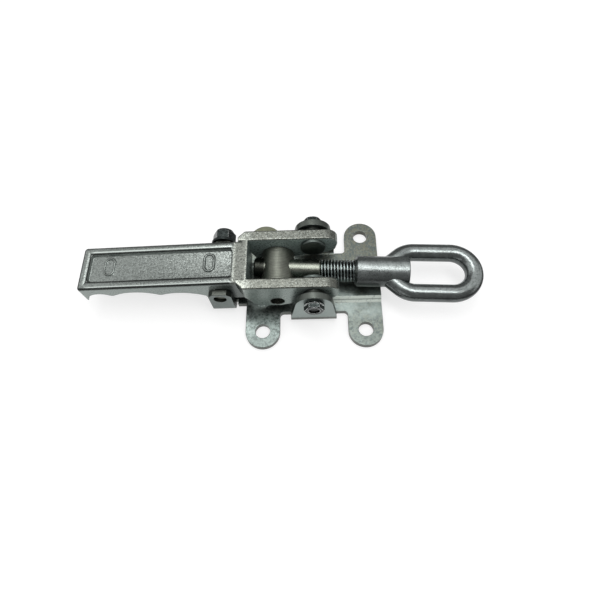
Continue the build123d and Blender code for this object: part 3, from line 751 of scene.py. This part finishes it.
class LATCH_OT_stage(bpy.types.Operator):
    """Makes the camera, the soft lamps, the white surroundings, the pale floor and the grey screens"""

    bl_idname = "latch.stage"
    bl_label = "Studio"

    def camera(self, s):
        outward = Vector(
            (sin(s.azimuth) * cos(s.elevation), -cos(s.azimuth) * cos(s.elevation), sin(s.elevation))
        )
        level = Vector((cos(s.azimuth), sin(s.azimuth), 0))
        over = outward.cross(level)
        right = cos(s.roll) * level + sin(s.roll) * over
        up = -sin(s.roll) * level + cos(s.roll) * over
        data = bpy.data.cameras.new("camera")
        data.sensor_width = 36.0
        data.lens = s.focal
        data.clip_start = 0.01
        view = bpy.data.objects.new("camera", data)
        turn = Matrix((right, up, outward)).transposed().to_4x4()
        view.matrix_world = Matrix.Translation(Vector(s.target) + s.distance * outward) @ turn
        bpy.context.scene.collection.objects.link(view)
        bpy.context.scene.camera = view

    def seen(self, r):
        """1 for what the camera sees, straight or in metal, and 0 for light that falls on the object."""
        path = r.node("ShaderNodeLightPath")
        return (path["Is Camera Ray"] + path["Is Glossy Ray"] + path["Is Transmission Ray"]).clamped()

    def surroundings(self, s):
        world = bpy.data.worlds.new("studio")
        world.use_nodes = True
        bpy.context.scene.world = world
        r = Recipe(world.node_tree)
        r.tree.nodes.clear()
        strength = r.blend(self.seen(r), s.ambient, 1.0)
        light = r.node("ShaderNodeBackground", inputs={"Color": (1, 1, 1, 1), "Strength": strength})
        r.node("ShaderNodeOutputWorld", inputs={"Surface": light["Background"]})

    def lamp(self, name, watts, width, depth, place, aim):
        data = bpy.data.lights.new(name, "AREA")
        data.shape = "RECTANGLE"
        data.size = width
        data.size_y = depth
        data.energy = watts
        lamp = bpy.data.objects.new(name, data)
        back = (Vector(place) - Vector(aim)).normalized()
        turn = back.to_track_quat("Z", "Y").to_matrix().to_4x4()
        lamp.matrix_world = Matrix.Translation(Vector(place)) @ turn
        bpy.context.scene.collection.objects.link(lamp)

    def sheet(self, name, left, right, first_edge, second_edge, material):
        """Flat stage sheet between two X values, from one edge to another, each given as (y, z)."""
        corners = [(left, *first_edge), (right, *first_edge), (right, *second_edge), (left, *second_edge)]
        mesh = bmesh.new()
        mesh.faces.new([mesh.verts.new(corner) for corner in corners])
        data = bpy.data.meshes.new(name)
        mesh.to_mesh(data)
        mesh.free()
        data.materials.append(material)
        made = bpy.data.objects.new(name, data)
        bpy.context.scene.collection.objects.link(made)
        return made

    def floor(self, s):
        """Pale floor that keeps the object's shadow, and that is white far away."""
        material = bpy.data.materials.new("pale_floor")
        material.use_nodes = True
        r = Recipe(material.node_tree)
        r.tree.nodes.clear()
        matt = r.node("ShaderNodeBsdfDiffuse", inputs={"Color": opaque(s.floor)})["BSDF"]
        place = r.node("ShaderNodeTexCoord")["Object"]
        away = r.node("ShaderNodeVectorMath", {"operation": "LENGTH"}, {0: place})["Value"]
        far_off = away.between(s.fade_start, s.fade_end)
        white = r.mix(far_off, shade((1, 1, 1), s.floor_glow), opaque((1, 1, 1)))
        glow = r.node("ShaderNodeEmission", inputs={"Color": white, "Strength": self.seen(r)})["Emission"]
        both = r.node("ShaderNodeAddShader", inputs={0: matt, 1: glow})["Shader"]
        r.node("ShaderNodeOutputMaterial", inputs={"Surface": both})
        level = CAD_BOX[0][2] - 0.2 * MM
        reach = s.floor_reach
        self.sheet("floor", -reach, reach, (-reach, level), (reach, level), material)

    def grey_screen(self, name, left, right, first_edge, second_edge, grey):
        """Grey screen beside the object that only shows in its metal."""
        material = bpy.data.materials.new(name)
        material.use_nodes = True
        r = Recipe(material.node_tree)
        r.tree.nodes.clear()
        dim = r.node("ShaderNodeEmission", inputs={"Color": (1, 1, 1, 1), "Strength": grey})["Emission"]
        r.node("ShaderNodeOutputMaterial", inputs={"Surface": dim})
        screen = self.sheet(name, left, right, first_edge, second_edge, material)
        screen.visible_camera = False
        screen.visible_diffuse = False
        screen.visible_shadow = False
        screen.visible_transmission = False

    def screens(self):
        """Two standing screens, and four that lie round the object just above the floor."""
        end = 1.6
        near_foot = (-1.1, 0.02)
        far_foot = (1.1, 0.02)
        near_side = (-0.07, 0.003)
        far_side = (0.06, 0.003)
        self.grey_screen("near_screen", -end, end, (-0.16, 0.80), near_foot, 0.24)
        self.grey_screen("far_screen", -0.7, end, (0.75, 0.70), far_foot, 0.22)
        self.grey_screen("near_low_screen", -end, end, near_side, near_foot, 0.12)
        self.grey_screen("far_low_screen", -end, end, far_side, far_foot, 0.20)
        self.grey_screen("left_low_screen", -end, -0.17, near_side, far_side, 0.20)
        self.grey_screen("right_low_screen", 0.12, end, near_side, far_side, 0.20)

    def execute(self, context):
        s = context.scene.latch_studio
        context.scene.view_settings.view_transform = "Standard"
        self.camera(s)
        self.surroundings(s)
        self.floor(s)
        self.lamp("key", s.key_power, s.key_width, s.key_depth, s.key_place, s.lamp_aim)
        self.lamp("fill", s.fill_power, s.fill_width, s.fill_depth, s.fill_place, s.lamp_aim)
        self.screens()
        return {"FINISHED"}


class LATCH_OT_base(bpy.types.Operator):
    """Finishes the stamped base"""

    bl_idname = "latch.base"
    bl_label = "Base"

    def execute(self, context):
        dress("base_plate", galvanised(context.scene.latch_zinc))
        return {"FINISHED"}


class LATCH_OT_handle(bpy.types.Operator):
    """Finishes the cast handle"""

    bl_idname = "latch.handle"
    bl_label = "Handle"

    def execute(self, context):
        dress("handle", cast_zinc(context.scene.latch_zinc, context.scene.latch_grip))
        return {"FINISHED"}


class LATCH_OT_trunnion(bpy.types.Operator):
    """Finishes the turned trunnion"""

    bl_idname = "latch.trunnion"
    bl_label = "Trunnion"

    def execute(self, context):
        steel = context.scene.latch_steel
        finish = turned(
            "turned_trunnion", steel.trunnion, "Y", ring=1.1, depth=0.06, edge_highlight=0.7, roughness=(0.36, 0.50)
        )
        dress("trunnion", finish)
        return {"FINISHED"}


class LATCH_OT_bolt(bpy.types.Operator):
    """Makes the draw bolt with its rolled thread"""

    bl_idname = "latch.bolt"
    bl_label = "Draw bolt"

    def plain(self, s):
        """Head, plain shank and the core inside the thread."""
        back = -(s.head_back + s.head_depth)
        core = s.thread_radius - s.thread_depth
        return lathe(
            [
                (back, 0),
                (back, s.head_radius - s.head_edge),
                (back + s.head_edge, s.head_radius),
                (-s.head_back, s.head_radius),
                (-s.head_back, s.shank_radius),
                (s.thread_start, s.shank_radius),
                (s.thread_start + s.neck, core),
                (s.thread_end - s.end_edge, core),
                (s.thread_end, core - s.end_edge),
                (s.thread_end, 0),
            ]
        )

    def thread(self, s, material):
        """Ridges over the core, from the neck to the bolt's end."""
        run = s.thread_end - s.thread_start
        thread = thread_tree().grow(
            {
                "Length": run,
                "Radius": s.thread_radius,
                "Depth": s.thread_depth,
                "Pitch": s.pitch,
                "Run-out": s.run_out,
                "Rows": int(run / s.pitch * s.rows_in_pitch) + 1,
                "Columns": s.columns,
                "Material": material,
            }
        )
        bmesh.ops.translate(thread, vec=(s.thread_start, 0, 0), verts=thread.verts)
        bmesh.ops.recalc_face_normals(thread, faces=thread.faces)
        return thread

    def execute(self, context):
        s = context.scene.latch_bolt
        steel = context.scene.latch_steel
        shank_finish = turned(
            "turned_bolt", steel.shank, "X", ring=0.7, edge_highlight=0.4, roughness=(0.14, 0.40), shade_below=s.shaded_tail
        )
        thread_finish = rolled_steel(steel.thread, steel.groove)
        thread = self.thread(s, thread_finish)
        thread.transform(along_bolt())
        finish_piece("bolt_thread", thread, "bolt", thread_finish, sharp=60)
        plain = self.plain(s)
        plain.transform(along_bolt())
        piece = finish_piece("bolt_shank", plain, "bolt", shank_finish)
        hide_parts("draw_bolt")
        return {"FINISHED"}


class LATCH_OT_link(bpy.types.Operator):
    """Finishes the socket and the eye of the link"""

    bl_idname = "latch.link"
    bl_label = "Link"

    def execute(self, context):
        steel = context.scene.latch_steel
        dress("link_socket", link_steel("socket_steel", steel.link, (0.20, 0.32)))
        dress("link_eye", link_steel("eye_steel", steel.link, (0.13, 0.24)))
        return {"FINISHED"}


class LATCH_OT_pivots(bpy.types.Operator):
    """Finishes the pivot pins, washers and nuts"""

    bl_idname = "latch.pivots"
    bl_label = "Pivots"

    def execute(self, context):
        steel = context.scene.latch_steel
        pin = turned("turned_pin", steel.pin, "Y", ring=0.6, shade_below=steel.shaded_pin_end)
        washer = turned("dull_washer", steel.washer, "Y", ring=0.6)
        nut = dark_fastener(steel.fastener, steel.glint)
        for side in ("near", "far"):
            dress(f"pivot_pin_{side}", pin)
            dress(f"pivot_washer_{side}", washer)
            dress(f"pivot_nut_{side}", nut)
        return {"FINISHED"}


class LATCH_OT_stop(bpy.types.Operator):
    """Finishes the stop stud, its washer and its nut"""

    bl_idname = "latch.stop"
    bl_label = "Stop stud"

    def execute(self, context):
        steel = context.scene.latch_steel
        dress("stop_stud", turned("turned_stud", steel.shank, "Y", ring=0.8))
        dress("stop_washer", turned("stop_washer", steel.fastener, "Y", ring=0.8))
        dress("stop_nut", dark_fastener(steel.fastener, steel.glint))
        return {"FINISHED"}


class LATCH_PT_panel(bpy.types.Panel):
    """Buttons for the pieces, over the sizes and colours that they read"""

    bl_label = "Draw latch"
    bl_idname = "LATCH_PT_panel"
    bl_space_type = "VIEW_3D"
    bl_region_type = "UI"
    bl_category = "Latch"

    def draw(self, context):
        for operator in OPERATORS:
            self.layout.operator(operator.bl_idname)
        for settings in SETTINGS:
            box = self.layout.box()
            group = getattr(context.scene, settings)
            for name in group.bl_rna.properties.keys():
                if name not in ("rna_type", "name"):
                    box.prop(group, name)


SETTINGS = {
    "latch_zinc": LatchZinc,
    "latch_grip": LatchGrip,
    "latch_steel": LatchSteel,
    "latch_bolt": LatchBolt,
    "latch_studio": LatchStudio,
}
OPERATORS = [
    LATCH_OT_stage,
    LATCH_OT_base,
    LATCH_OT_handle,
    LATCH_OT_trunnion,
    LATCH_OT_bolt,
    LATCH_OT_link,
    LATCH_OT_pivots,
    LATCH_OT_stop,
]


def register():
    for name, group in SETTINGS.items():
        bpy.utils.register_class(group)
        setattr(bpy.types.Scene, name, bpy.props.PointerProperty(type=group))
    for operator in OPERATORS:
        bpy.utils.register_class(operator)
    bpy.utils.register_class(LATCH_PT_panel)


def unregister():
    bpy.utils.unregister_class(LATCH_PT_panel)
    for operator in reversed(OPERATORS):
        bpy.utils.unregister_class(operator)
    for name, group in SETTINGS.items():
        delattr(bpy.types.Scene, name)
        bpy.utils.unregister_class(group)


def main():
    register()
    for operator in OPERATORS:
        group, name = operator.bl_idname.split(".")
        getattr(getattr(bpy.ops, group), name)()


if __name__ == "__main__":
    main()
